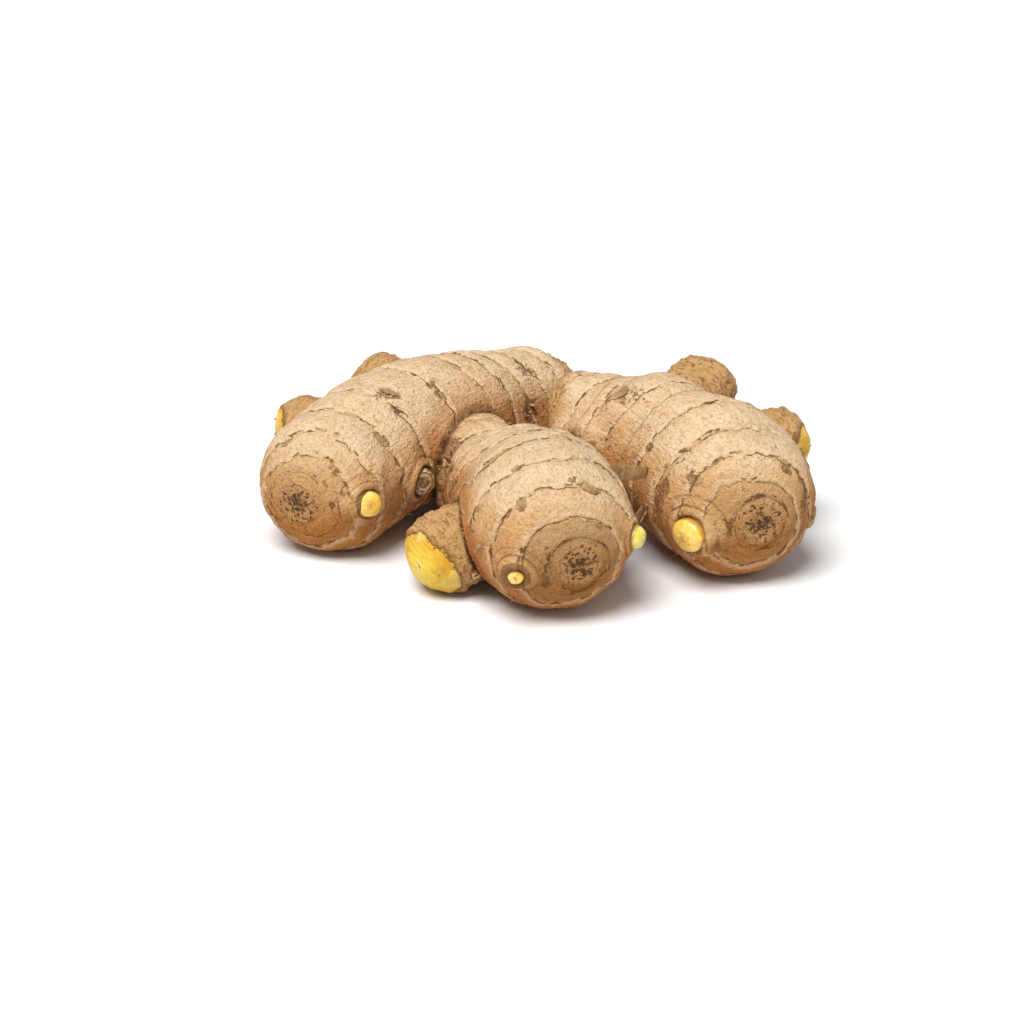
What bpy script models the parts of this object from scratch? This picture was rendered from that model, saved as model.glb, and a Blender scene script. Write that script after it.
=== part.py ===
"""A fresh ginger rhizome: one "hand" of three plump fingers with short side shoots and buds.

The rhizome grew as one piece, so the model is one closed solid lying on the plane z = 0.
Every finger is a row of rings along a curved line. The fingers overlap, a voxel remesh joins
them into one skin, and a smoothing pass rounds the creases where one grows out of another.
Metres, +Z up. The origin is under the middle of the rhizome, on the surface it lies on.
"""

from math import atan2, cos, degrees, pi, radians, sin

import bmesh
import bpy
from mathutils import Matrix, Vector, noise

# ---- Driving dimensions -----------------------------------------------------------------------
# Directions are seen from above, in degrees from +X towards +Y. A girth holds (share of the
# finger's length, share of its full radius) stops, and a lift (share, height off the table) stops.

MM = 0.001

# Left finger: it grew from the broken stub at the back towards the front left.
LEFT_BACK = Vector((-2.0, 63.0)) * MM  # middle of its round back end, seen from above
LEFT_LENGTH = 75 * MM  # between the middles of its two round ends
LEFT_HEADING = (-146.0, -119.0)  # direction at the back and at the tip
LEFT_THICKNESS = 39 * MM
LEFT_GIRTH = [(0.0, 0.89), (0.35, 0.93), (0.75, 0.96), (1.0, 0.90)]
LEFT_LIFT = [(0.0, 0.5 * MM), (0.5, 3.0 * MM), (1.0, 0.0)]

# Middle finger: a branch of the left one that turns to the front.
MIDDLE_SEAT = 0.41  # where it leaves the left finger, as a share of that finger's length
MIDDLE_LENGTH = 79.5 * MM
MIDDLE_HEADING = (-54.0, -81.5)
MIDDLE_THICKNESS = 39 * MM
MIDDLE_GIRTH = [(0.0, 0.62), (0.38, 0.70), (0.66, 0.93), (0.85, 1.03), (1.0, 1.01)]
MIDDLE_LIFT = [(0.0, 4.0 * MM), (0.4, 1.0 * MM), (0.85, 0.0), (1.0, 0.5 * MM)]

# Right finger: it lies beside the middle one, and a short neck joins the two.
RIGHT_BACK = Vector((11.0, 35.5)) * MM
RIGHT_LENGTH = 58 * MM
RIGHT_HEADING = (-28.0, -68.0)
RIGHT_THICKNESS = 41 * MM
RIGHT_GIRTH = [(0.0, 0.52), (0.22, 0.66), (0.5, 0.88), (0.8, 1.02), (1.0, 0.98)]
RIGHT_LIFT = [(0.0, 16.5 * MM), (0.3, 10.5 * MM), (0.7, 1.0 * MM), (1.0, 0.0)]
NECK_THICKNESS = 20 * MM
NECK_SEATS = (0.44, 0.40)  # where the neck leaves the middle finger and meets the right one

# How far each round end stands out, as a share of its radius: the start, then the tip.
GROWN_ENDS = (0.9, 0.85)
BURIED_START = (0.5, 0.85)
BROKEN_START = (0.6, 0.85)

# Side shoots, broken stubs and buds.
STUB_THICKNESS = 16.5 * MM
BUD_THICKNESS = 8 * MM
SHOOTS = [
    # finger, share of its length, direction, slope, how far it stands out, thickness
    ("middle", 0.73, -154, -19, 18 * MM, 20.5 * MM),  # the large yellow-tipped shoot
    ("left", 0.42, 136, 17, 11.5 * MM, STUB_THICKNESS),
    ("left", 0.74, 142, 4, 14 * MM, STUB_THICKNESS),
    ("right", 0.37, 52, 10, 19.5 * MM, 19.5 * MM),
    ("right", 0.66, 30, 4, 17 * MM, 19 * MM),
    ("right", 0.97, -4, -16, 3 * MM, 10 * MM),  # a scarred knob
    ("left", 1.0, -66, -3, 1.6 * MM, BUD_THICKNESS),
    ("left", 0.8, -41, -2, 2.5 * MM, BUD_THICKNESS),
    ("middle", 1.0, -127, -19, 1 * MM, 6 * MM),
    ("middle", 0.98, -19, 7, 2.5 * MM, BUD_THICKNESS),
    ("right", 1.0, -117, -15, 2.5 * MM, BUD_THICKNESS),
]
SHOOT_WAIST = 0.9  # its thickness where it leaves the finger, as a share of its knob's

# Surface.
NODE_PITCH = 9 * MM  # distance between the rings that old leaf scales leave on a finger
NODE_SWELL = 0.018  # how much a finger swells between two rings, as a share of its radius
LUMPS = 0.04  # how uneven a finger is, as a share of its radius
LUMP_SIZE = 18 * MM
FLATTENED = 0.96  # height over width of a finger's section

# Mesh.
RING_STEP = 2.5 * MM
RING_SIDES = 28
DOME_RINGS = 6
VOXEL = 1.6 * MM
SMOOTHING_PASSES = 5
KEPT_FACES = 0.20  # share of the remeshed faces that the decimation keeps


# ---- Fingers ----------------------------------------------------------------------------------


def follow(stops, share):
    """Reads a value off (share, value) stops, easing from each to the next."""
    share = min(max(share, 0.0), 1.0)
    for (start, low), (end, high) in zip(stops, stops[1:]):
        if share <= end:
            step = (share - start) / (end - start)
            return low + (high - low) * step * step * (3 - 2 * step)


class Finger:
    """A round finger along a line that turns evenly, with a dome at each end."""

    def __init__(self, start, length, heading, thickness, girth, lift, ends):
        self.start = Vector((start.x, start.y))
        self.length = length
        self.heading = heading
        self.full_radius = thickness / 2
        self.girth = girth
        self.lift = lift
        self.ends = ends

    def plan(self, share):
        """The line from above: the sum of short steps, each in its own direction."""
        steps = 16
        place = self.start.copy()
        for step in range(steps):
            walked = share * (step + 0.5) / steps
            turn = radians(self.heading[0] + (self.heading[1] - self.heading[0]) * walked)
            place += Vector((cos(turn), sin(turn))) * self.length * share / steps
        return place

    def radius(self, share):
        return self.full_radius * follow(self.girth, share)

    def middle(self, share):
        height = self.radius(share) * FLATTENED + follow(self.lift, share)
        return Vector((*self.plan(share), height))


class Shoot(Finger):
    """A short straight finger that starts inside its parent and ends in a knob of its own."""

    def __init__(self, parent, seat, turn, climb, reach, thickness, waist=SHOOT_WAIST):
        base = parent.middle(seat)
        length = max(parent.radius(seat) + reach - thickness / 2, thickness / 2)
        super().__init__(
            base,
            length * cos(radians(climb)),
            (turn, turn),
            thickness,
            [(0.0, waist), (0.55, waist), (1.0, 1.0)],
            [(0.0, 0.0), (1.0, 0.0)],
            BURIED_START,
        )
        self.base_height = base.z
        self.rise = length * sin(radians(climb))

    def middle(self, share):
        return Vector((*self.plan(share), self.base_height + self.rise * share))


def make_neck(finger, seat, other, other_seat):
    """A straight neck between two fingers, from the middle of one to the middle of the other."""
    way = other.middle(other_seat) - finger.middle(seat)
    turn = degrees(atan2(way.y, way.x))
    climb = degrees(atan2(way.z, way.xy.length))
    reach = way.length - finger.radius(seat) + NECK_THICKNESS / 2
    return Shoot(finger, seat, turn, climb, reach, NECK_THICKNESS, waist=1.0)


def make_fingers():
    left = Finger(
        LEFT_BACK, LEFT_LENGTH, LEFT_HEADING, LEFT_THICKNESS, LEFT_GIRTH, LEFT_LIFT, GROWN_ENDS
    )
    middle = Finger(
        left.plan(MIDDLE_SEAT),
        MIDDLE_LENGTH,
        MIDDLE_HEADING,
        MIDDLE_THICKNESS,
        MIDDLE_GIRTH,
        MIDDLE_LIFT,
        BURIED_START,
    )
    right = Finger(
        RIGHT_BACK,
        RIGHT_LENGTH,
        RIGHT_HEADING,
        RIGHT_THICKNESS,
        RIGHT_GIRTH,
        RIGHT_LIFT,
        BROKEN_START,
    )
    neck = make_neck(middle, NECK_SEATS[0], right, NECK_SEATS[1])
    parents = {"left": left, "middle": middle, "right": right}
    shoots = [Shoot(parents[parent], *sizes) for parent, *sizes in SHOOTS]
    return [left, middle, right, neck, *shoots]


# ---- Mesh -------------------------------------------------------------------------------------


def ring_matrix(middle, direction, radius):
    """Stands a unit circle upright across the finger, as wide as the finger is there."""
    forward = direction.normalized()
    side = Vector((0, 0, 1)).cross(forward).normalized()
    up = forward.cross(side)
    turned = Matrix((side, up, forward)).transposed().to_4x4()
    size = Matrix.Diagonal((radius, radius * FLATTENED, 1, 1))
    return Matrix.Translation(middle) @ turned @ size


def ring_places(finger):
    """(share along the line, share of the local radius) for each ring, domes included."""
    start, tip = (finger.radius(end) * finger.ends[end] / finger.length for end in (0, 1))
    angles = [ring * pi / 2 / (DOME_RINGS + 1) for ring in range(1, DOME_RINGS + 1)]
    rings = max(4, round(finger.length / RING_STEP))
    body = [(ring / rings, 1.0) for ring in range(rings + 1)]
    start_dome = [(-start * sin(angle), cos(angle)) for angle in reversed(angles)]
    tip_dome = [(1 + tip * sin(angle), cos(angle)) for angle in angles]
    return start_dome + body + tip_dome


def unevenness(place, along):
    """The share by which the skin stands in or out: swellings between the rings, and lumps."""
    swelling = NODE_SWELL * abs(sin(pi * along / NODE_PITCH))
    return 1 + swelling + LUMPS * noise.noise(place / LUMP_SIZE)


def add_finger(mesh, finger):
    """Adds one finger: a circle for each ring, bridged to the one before, and two end caps."""
    last_edges = None
    places = ring_places(finger)
    for share, width in places:
        middle = finger.middle(share)
        direction = finger.middle(share + 0.01) - finger.middle(share - 0.01)
        radius = finger.radius(share) * width * unevenness(middle, share * finger.length)
        matrix = ring_matrix(middle, direction, radius)
        ring = bmesh.ops.create_circle(mesh, segments=RING_SIDES, radius=1.0, matrix=matrix)
        edges = list({edge for vertex in ring["verts"] for edge in vertex.link_edges})
        if last_edges:
            bmesh.ops.bridge_loops(mesh, edges=last_edges + edges)
        if share in (places[0][0], places[-1][0]):
            mesh.faces.new(ring["verts"])
        last_edges = edges


def make_fingers_mesh():
    mesh = bmesh.new()
    for finger in make_fingers():
        add_finger(mesh, finger)
    bmesh.ops.recalc_face_normals(mesh, faces=mesh.faces)
    data = bpy.data.meshes.new("rhizome")
    mesh.to_mesh(data)
    mesh.free()
    return data


def grow_together(rhizome):
    """Joins the overlapping fingers into one skin, rounds its creases and thins its faces."""
    joined = rhizome.modifiers.new("grown_together", "REMESH")
    joined.mode = "VOXEL"
    joined.voxel_size = VOXEL
    rounded = rhizome.modifiers.new("rounded_creases", "SMOOTH")
    rounded.factor = 0.5
    rounded.iterations = SMOOTHING_PASSES
    thinned = rhizome.modifiers.new("thinned", "DECIMATE")
    thinned.ratio = KEPT_FACES
    bpy.context.view_layer.update()
    evaluated = rhizome.evaluated_get(bpy.context.evaluated_depsgraph_get())
    skin = bpy.data.meshes.new_from_object(evaluated)
    rhizome.modifiers.clear()
    rhizome.data = skin


def lay_on_origin(skin):
    """Moves the mesh so that it lies on z = 0 with the middle of its outline over the origin."""
    low = Vector([min(vertex.co[axis] for vertex in skin.vertices) for axis in range(3)])
    high = Vector([max(vertex.co[axis] for vertex in skin.vertices) for axis in range(3)])
    skin.transform(Matrix.Translation((-(low.x + high.x) / 2, -(low.y + high.y) / 2, -low.z)))


def make_skin_material():
    material = bpy.data.materials.new("ginger_skin")
    material.use_nodes = True
    shader = material.node_tree.nodes["Principled BSDF"]
    shader.inputs["Base Color"].default_value = (0.56, 0.36, 0.19, 1.0)
    shader.inputs["Roughness"].default_value = 0.62
    shader.inputs["Metallic"].default_value = 0.0
    return material


def main():
    for leftover in list(bpy.data.objects):
        bpy.data.objects.remove(leftover)
    rhizome = bpy.data.objects.new("ginger_rhizome", make_fingers_mesh())
    bpy.context.scene.collection.objects.link(rhizome)
    grow_together(rhizome)
    lay_on_origin(rhizome.data)
    rhizome.data.materials.clear()
    rhizome.data.materials.append(make_skin_material())
    rhizome.data.shade_smooth()


main()
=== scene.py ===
# %% [markdown]
# # A fresh ginger root
# A ginger root is a rhizome: an underground stem that grew as one piece. This one is a "hand" of
# three thick fingers with short side shoots. The lesson loads the plain solid that a CAD step made,
# gives its skin the rings, wrinkles and scars of the real thing, and adds the small loose parts:
# yellow buds, papery leaf scales and rootlets.

from math import cos, pi, radians, sin

import bmesh
import bpy
import numpy as np
from mathutils import Matrix, Vector, noise
from mathutils.bvhtree import BVHTree


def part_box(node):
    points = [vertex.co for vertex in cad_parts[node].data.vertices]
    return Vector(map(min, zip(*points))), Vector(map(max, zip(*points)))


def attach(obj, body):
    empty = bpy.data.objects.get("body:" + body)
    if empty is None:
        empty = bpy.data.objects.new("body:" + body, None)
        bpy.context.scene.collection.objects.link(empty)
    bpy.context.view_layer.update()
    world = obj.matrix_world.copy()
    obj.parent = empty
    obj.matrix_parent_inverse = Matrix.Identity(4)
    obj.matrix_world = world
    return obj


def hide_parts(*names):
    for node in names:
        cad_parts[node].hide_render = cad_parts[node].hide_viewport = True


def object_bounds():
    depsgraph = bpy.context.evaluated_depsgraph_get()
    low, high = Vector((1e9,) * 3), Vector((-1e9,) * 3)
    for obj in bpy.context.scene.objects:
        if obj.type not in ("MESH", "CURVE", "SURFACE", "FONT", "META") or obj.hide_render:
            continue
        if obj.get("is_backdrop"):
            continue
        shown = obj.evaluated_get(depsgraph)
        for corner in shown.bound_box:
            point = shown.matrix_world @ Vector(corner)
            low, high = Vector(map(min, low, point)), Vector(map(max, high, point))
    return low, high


MM = 0.001
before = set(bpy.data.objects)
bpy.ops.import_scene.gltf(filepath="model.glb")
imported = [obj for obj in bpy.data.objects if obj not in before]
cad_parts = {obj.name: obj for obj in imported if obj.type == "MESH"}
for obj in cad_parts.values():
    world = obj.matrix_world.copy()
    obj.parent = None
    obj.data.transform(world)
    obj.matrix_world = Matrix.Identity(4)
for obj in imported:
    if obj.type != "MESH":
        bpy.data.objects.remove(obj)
cad_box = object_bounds()
low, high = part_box("ginger_rhizome")
MIDDLE = Vector(((low.x + high.x) / 2, (low.y + high.y) / 2, low.z))
print("The solid measures", [round(side / MM, 1) for side in high - low], "mm")


def opened(data):
    """A bmesh that holds a copy of a mesh."""
    work = bmesh.new()
    work.from_mesh(data)
    work.verts.ensure_lookup_table()
    return work


def placed(name, data):
    """A new object that shows a mesh, a lamp or a camera, put into the scene."""
    made = bpy.data.objects.new(name, data)
    bpy.context.scene.collection.objects.link(made)
    return made


# %% [markdown]
# ## The growth lines
# Each finger grew along a gently curving line, and every mark on its skin follows that line: rings
# go round it, wrinkles run beside it and shoots leave it sideways. So the first thing to make is
# not a shape but the lines themselves, with the finger's thickness along each. The same lines drove
# the solid, and they are written here again from the middle of its base, in millimetres.


# %% A growth line
def follow(stops, share):
    """Reads values off (share, value) stops, easing from each to the next."""
    share = np.clip(share, 0.0, 1.0)
    at, values = np.array(stops, float).T
    left_of = np.clip(np.searchsorted(at, share, side="left") - 1, 0, len(at) - 2)
    step = (share - at[left_of]) / (at[left_of + 1] - at[left_of])
    return values[left_of] + (values[left_of + 1] - values[left_of]) * step * step * (3 - 2 * step)


def direction(turn, climb=0.0):
    """A unit vector from a compass turn and a climb, in degrees."""
    turn, climb = radians(turn), radians(climb)
    return Vector((cos(turn) * cos(climb), sin(turn) * cos(climb), sin(climb)))


class GrowthLine:
    """Points along a finger's middle in metres, with the radius at each."""

    FLATTENED = 0.96
    FLOOR_GAP = 0.47 * MM
    COUNT = 97

    def __init__(self, name, start, length, heading, thickness, girth, lift):
        self.name = name
        self.shares = np.linspace(0, 1, self.COUNT)
        turns = np.radians(heading[0] + (heading[1] - heading[0]) * self.shares)
        steps = np.stack([np.cos(turns), np.sin(turns)], 1) * length * MM / (self.COUNT - 1)
        walked = np.cumsum((steps[:-1] + steps[1:]) / 2, 0)
        plan = np.vstack([np.zeros(2), walked]) + np.array(start) * MM + np.array(MIDDLE.xy)
        self.radii = thickness / 2 * MM * follow(girth, self.shares)
        heights = self.radii * self.FLATTENED + follow(lift, self.shares) * MM + self.FLOOR_GAP
        self.points = np.column_stack([plan, heights + MIDDLE.z])

    def middle(self, share):
        return Vector([np.interp(share, self.shares, self.points[:, axis]) for axis in range(3)])

    def radius(self, share):
        return float(np.interp(share, self.shares, self.radii))


class ShootLine(GrowthLine):
    """A straight short shoot that leaves its finger sideways and ends in a knob."""

    WAIST = 0.9

    def __init__(self, name, parent, seat, turn, climb, reach, thickness):
        self.name = name
        self.shares = np.linspace(0, 1, self.COUNT)
        knob = thickness / 2 * MM
        length = max(parent.radius(seat) + reach * MM - knob, knob)
        way = np.array(direction(turn, climb)) * length
        self.points = np.array(parent.middle(seat)) + self.shares[:, None] * way
        waist = [(0.0, self.WAIST), (0.55, self.WAIST), (1.0, 1.0)]
        self.radii = knob * follow(waist, self.shares)


left = GrowthLine(
    "left", (-2.96, 46.05), 75, (-146.0, -119.0), 39,
    [(0.0, 0.89), (0.35, 0.93), (0.75, 0.96), (1.0, 0.90)],
    [(0.0, 0.5), (0.5, 3.0), (1.0, 0.0)],
)
branch = (left.middle(0.41) - MIDDLE) / MM
middle = GrowthLine(
    "middle", (branch.x, branch.y), 79.5, (-54.0, -81.5), 39,
    [(0.0, 0.62), (0.38, 0.70), (0.66, 0.93), (0.85, 1.03), (1.0, 1.01)],
    [(0.0, 4.0), (0.4, 1.0), (0.85, 0.0), (1.0, 0.5)],
)
right = GrowthLine(
    "right", (10.04, 18.55), 58, (-28.0, -68.0), 41,
    [(0.0, 0.52), (0.22, 0.66), (0.5, 0.88), (0.8, 1.02), (1.0, 0.98)],
    [(0.0, 16.5), (0.3, 10.5), (0.7, 1.0), (1.0, 0.0)],
)
fingers = [left, middle, right]
shoots = [
    ShootLine("yellow_shoot", middle, 0.73, -154, -19, 18, 20.5),
    ShootLine("stub_left_back", left, 0.42, 136, 17, 11.5, 16.5),
    ShootLine("stub_left_side", left, 0.74, 142, 4, 14, 16.5),
    ShootLine("stub_right_back", right, 0.37, 52, 10, 19.5, 19.5),
    ShootLine("stub_right_side", right, 0.66, 30, 4, 17, 19),
    ShootLine("scar_knob", right, 0.97, -4, -16, 3, 10),
]
lines = fingers + shoots
NUMBER = {line.name: number for number, line in enumerate(lines)}
for line in fingers:
    print(line.name, "finger tip at", [round(v / MM, 1) for v in line.middle(1.0)], "mm")

# %% [markdown]
# ## A fine skin to work on
# The solid is made of flat triangles about 3 mm wide, too coarse to carry wrinkles. It could be
# subdivided as it is, but its triangles are uneven and would show. Remeshing a copy into even
# squares, smoothing them and subdividing once gives a soft, regular skin with a point about every
# 0.9 mm. The solid itself stays as it is.


# %% Remesh a copy of the solid
def applied(name, data, modifiers):
    """A new mesh: data with these modifiers worked into it. modifiers is [(type, settings)]."""
    carrier = placed(name, data)
    for kind, settings in modifiers:
        modifier = carrier.modifiers.new(kind, kind)
        for setting, value in settings.items():
            setattr(modifier, setting, value)
    bpy.context.view_layer.update()
    evaluated = carrier.evaluated_get(bpy.context.evaluated_depsgraph_get())
    made = bpy.data.meshes.new_from_object(evaluated)
    bpy.data.objects.remove(carrier)
    made.name = name
    return made


SKIN_VOXEL = 1.75 * MM
work = opened(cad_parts["ginger_rhizome"].data)
bmesh.ops.remove_doubles(work, verts=work.verts, dist=0.01 * MM)
merged = bpy.data.meshes.new("merged")
work.to_mesh(merged)
work.free()
skin_data = applied(
    "ginger_skin",
    merged,
    [
        ("REMESH", {"mode": "VOXEL", "voxel_size": SKIN_VOXEL}),
        ("SMOOTH", {"factor": 0.5, "iterations": 5}),
        ("SUBSURF", {"levels": 1, "render_levels": 1}),
    ],
)
print("The fine skin has", len(skin_data.polygons), "faces")

# %% [markdown]
# ## Measure every point of the skin against the lines
# For each point of the skin the nearest line says which finger it belongs to, how far along it lies
# and on which side. Where two lines are equally near, one finger grows out of the other, and there
# the skin is creased, partly dirty and partly painted darker as shade. All of this is plain
# arithmetic on arrays, so numpy does it for all points at once.


# %% Small tools for arrays
def ease(low_value, high_value, values):
    """0 below the low value, 1 above the high one, eased between."""
    share = np.clip((values - low_value) / (high_value - low_value), 0, 1)
    return share * share * (3 - 2 * share)


def grain_noise(places, size, seed=0.0, octaves=2):
    """Soft noise from about -1 to 1 at each place. size is its grain in metres."""
    shift = Vector((seed, seed * 1.7, -seed))
    values = [noise.fractal(Vector(place) / size + shift, 1.0, 2.0, octaves) for place in places]
    return np.array(values)


def hump(values, top_at, width):
    """1 where a value is at the top, falling smoothly to almost 0 two widths away."""
    return np.exp(-(((values - top_at) / width) ** 2))


def away_from(places, centre):
    """How many mm each place lies from a centre."""
    return np.linalg.norm(places - np.array(centre), axis=1) / MM


def read_vectors(data, which):
    """One row for each point of a mesh: its place ("co") or its "normal"."""
    flat = np.empty(len(data.vertices) * 3)
    data.vertices.foreach_get(which, flat)
    return flat.reshape(-1, 3)


# %% Distances to the lines
def nearest_on(points, line):
    """(distance from the line less its radius, index of the nearest point on it)."""
    gaps = np.empty(len(points))
    nearest = np.empty(len(points), int)
    for start in range(0, len(points), 20000):
        part = slice(start, start + 20000)
        away = np.linalg.norm(points[part, None] - line.points[None], axis=2) - line.radii
        nearest[part] = away.argmin(1)
        gaps[part] = away.min(1)
    return gaps / MM, nearest


def round_line(points, line, nearest):
    """(side, up, along) of each point round a line, in mm. along grows towards its tip."""
    ahead = np.gradient(line.points, axis=0)
    ahead /= np.linalg.norm(ahead, axis=1)[:, None]
    walked = np.append(0, np.cumsum(np.linalg.norm(np.diff(line.points, axis=0), axis=1)))
    away = points - line.points[nearest]
    ahead = ahead[nearest]
    side = np.cross(np.array((0, 0, 1.0)), ahead)
    side /= np.linalg.norm(side, axis=1)[:, None]
    up = np.cross(ahead, side)
    along = walked[nearest] + (away * ahead).sum(1)
    return np.column_stack([(away * side).sum(1), (away * up).sum(1), along]) / MM


# %% [markdown]
# ## Rings, counted from the stem scar
# A leaf scale once wrapped the finger at each ring. On the tip the rings close round the scar that
# the stem left, and further back they run straight round the finger. One measure gives both: the
# distance from the scar. The list of ring distances turns it into a count that passes a whole
# number at each ring. Rings bulge a little round a bud or a shoot, and some noise keeps them from
# being perfect circles.

# %% Scars, buds and ring distances
# where the stem broke off, as turn and climb from the tip's middle
SCARS = {"left": (-119.3, -3.0), "middle": (-67.9, -9.4), "right": (-70.1, -4.1)}
# (finger, share, turn, climb, radius in mm)
BUDS = {
    "left_bud": (left, 1.0, -50.4, -0.8, 3.3),
    "left_torn_bud": (left, 0.8, -33.5, -7.0, 3.4),
    "middle_small_bud": (middle, 1.0, -120.8, -17.3, 1.8),
    "middle_side_bud": (middle, 0.98, -17, 1, 2.9),
    "right_bud": (right, 1.0, -128.0, -11.8, 4.2),
}
TIP_BUD = {"left": "left_bud", "middle": "middle_small_bud", "right": "right_bud"}
RINGS = {
    "left": [0, 5.2, 8.6, 12, 18, 25.8, 35, 50.8, 63, 69.5, 76, 83, 90, 97],
    "middle": [0, 4.8, 7.5, 12.4, 19.8, 27, 36.3, 46.8, 54, 61, 67.5, 75, 83, 91],
    "right": [0, 5.2, 7.0, 11.2, 17.3, 25.2, 35.2, 48.8, 57, 65, 73, 81],
}
SHOOT_RINGS = [0, 4, 8.5, 12, 16, 20, 24, 28, 32, 36, 40]
# rays start this far out: past any finger's own skin, but short of its neighbours
RAY_START = 26 * MM
NOWHERE = 99.0  # a distance in mm for points that a measure doesn't reach


def surface_tree(data):
    return BVHTree.FromPolygons(
        [vertex.co for vertex in data.vertices], [face.vertices for face in data.polygons]
    )


def on_skin(tree, line, share, turn, climb):
    """The point of the skin, and its normal, seen from a line's middle in that direction."""
    start = line.middle(share)
    way = direction(turn, climb)
    return tree.ray_cast(start + way * RAY_START, -way)[:2]


tree = surface_tree(skin_data)
scar_places = {line.name: on_skin(tree, line, 1.0, *SCARS[line.name])[0] for line in fingers}
bud_places = {name: on_skin(tree, *place[:4]) for name, place in BUDS.items()}


# %% Measure the skin
def measure_skin(points):
    """Everything the rings and finishes need to know about each point, as a dict of arrays."""
    measured = [nearest_on(points, line) for line in lines]
    gaps = np.stack([gap for gap, _ in measured], 1)
    ordered = np.sort(gaps, 1)
    owner = gaps.argmin(1)
    grain = np.zeros((len(points), 3))
    scar = np.full(len(points), NOWHERE)
    ring = np.zeros(len(points))
    spacing = np.ones(len(points))
    for number, line in enumerate(lines):
        mine = owner == number
        places = points[mine]
        grain[mine] = round_line(places, line, measured[number][1][mine])
        if number < len(fingers):
            steps = RINGS[line.name]
            origin = np.array(scar_places[line.name])
            away = away_from(places, origin)
            scar[mine] = away
            bud = np.array(bud_places[TIP_BUD[line.name]][0]) - origin
            facing = (places - origin) @ bud / np.linalg.norm(bud) / MM / np.maximum(away, 1)
            bulge = 2.4 * facing * ease(7, 12, away) * (1 - ease(30, 45, away))
            for shoot_number in range(len(fingers), len(lines) - 1):
                bulge += 11 * hump(gaps[mine, shoot_number], 0, 4.5) * ease(14, 20, away)
            wander = 1.2 * grain_noise(places, 15 * MM, 3) + 0.5 * grain_noise(places, 4 * MM, 8)
            away = away - bulge + wander * np.clip(away / 14, 0.15, 1.0)
        else:
            steps = SHOOT_RINGS
            away = np.linalg.norm(places - line.points[-1], axis=1) - line.radii[-1]
            away = away / MM + 0.7 * grain_noise(places, 6 * MM, 3)
        away = np.maximum(away, 0)
        ring[mine] = np.interp(away, steps, np.arange(len(steps)))
        spacing[mine] = np.interp(away, steps[1:], np.diff(steps))
    return {
        "owner": owner, "gaps": gaps, "meeting": ordered[:, 1] - ordered[:, 0],
        "grain": grain, "scar": scar, "ring": ring, "spacing": spacing,
    }


# %% Finer where it matters
def refine(data, wanted):
    """Cuts the edges whose two ends are both wanted."""
    work = opened(data)
    edges = [e for e in work.edges if wanted[e.verts[0].index] and wanted[e.verts[1].index]]
    bmesh.ops.subdivide_edges(work, edges=edges, cuts=1, use_grid_fill=True)
    work.to_mesh(data)
    work.free()


points = read_vectors(skin_data, "co")
sizes = measure_skin(points)
from_bud = np.full(len(points), NOWHERE)
for name, (place, _) in bud_places.items():
    from_bud = np.minimum(from_bud, away_from(points, place) - BUDS[name][4])
from_ring = np.abs(sizes["ring"] - np.round(sizes["ring"])) * sizes["spacing"]
wanted = (sizes["scar"] < 8.0) | (from_bud < 2.6)
wanted |= (from_ring < 0.9) & (sizes["ring"] > 2.5) & (sizes["owner"] < len(fingers))
refine(skin_data, wanted)
triangles = sum(len(face.vertices) - 2 for face in skin_data.polygons)
print("With finer rings and tips the skin has", triangles, "triangles")

points = read_vectors(skin_data, "co")
sizes = measure_skin(points)
owner, grain, ring = sizes["owner"], sizes["grain"], sizes["ring"]
spacing, scar_away, meeting = sizes["spacing"], sizes["scar"], sizes["meeting"]
for number, line in enumerate(lines):
    print(line.name, "owns", int((owner == number).sum()), "points")


# %% [markdown]
# ## Raise and sink the skin
# Each point now moves a little along its normal. Between two rings the skin swells, and at each
# ring it steps down towards the tip, where the next younger piece came out of the older one. The
# stem scar is a shallow dish, a bud sits in a groove inside a raised collar, a crease is drawn in,
# and the old stubs are ribbed with fibre. Moving points is the direct way: a displacement texture
# could not know where the rings are.

# %% Rings, swellings and wrinkles, in millimetres
normals = read_vectors(skin_data, "normal")
past = ring - np.floor(ring)
on_tip = 1 - ease(8, 13, scar_away)
on_finger = (owner < len(fingers)).astype(float)
crease = 1 - ease(0.2, 2.6, meeting)
second = sizes["gaps"].argsort(1)[:, 1]
# two fingers: how much deeper the skin is drawn in where they meet, and how far from there, in mm
DEEP = {
    ("left", "right"): (3.2, 6.0), ("middle", "right"): (1.6, 4.0), ("left", "middle"): (0.9, 3.0),
}
drawn_in = 0.9 * crease**2
for pair, (depth, reach) in DEEP.items():
    one, other = NUMBER[pair[0]], NUMBER[pair[1]]
    both = ((owner == one) & (second == other)) | ((owner == other) & (second == one))
    near = both * (1 - ease(0.2, reach, meeting))
    drawn_in += depth * near**1.5
    crease = np.maximum(crease, near)

jag = 0.5 * grain_noise(points, 1.5 * MM, 81)
step_place = (past - np.round(past)) * spacing + jag  # mm past the ring, minus towards the tip
ledge = 0.17 + 0.16 * grain_noise(points, 8 * MM, 21)
step = np.tanh(step_place / 0.28) * hump(step_place, 0, 2.4) * ease(1.2, 2.0, ring)
groove = -0.16 * hump(step_place, 0, 0.30) * ease(0.5, 1.2, ring)
swelling = 0.42 * np.sin(pi * past) * ease(2.5, 3.5, ring)
height = (ledge * step + groove) * (0.35 + 0.65 * on_finger) + swelling * on_finger

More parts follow.
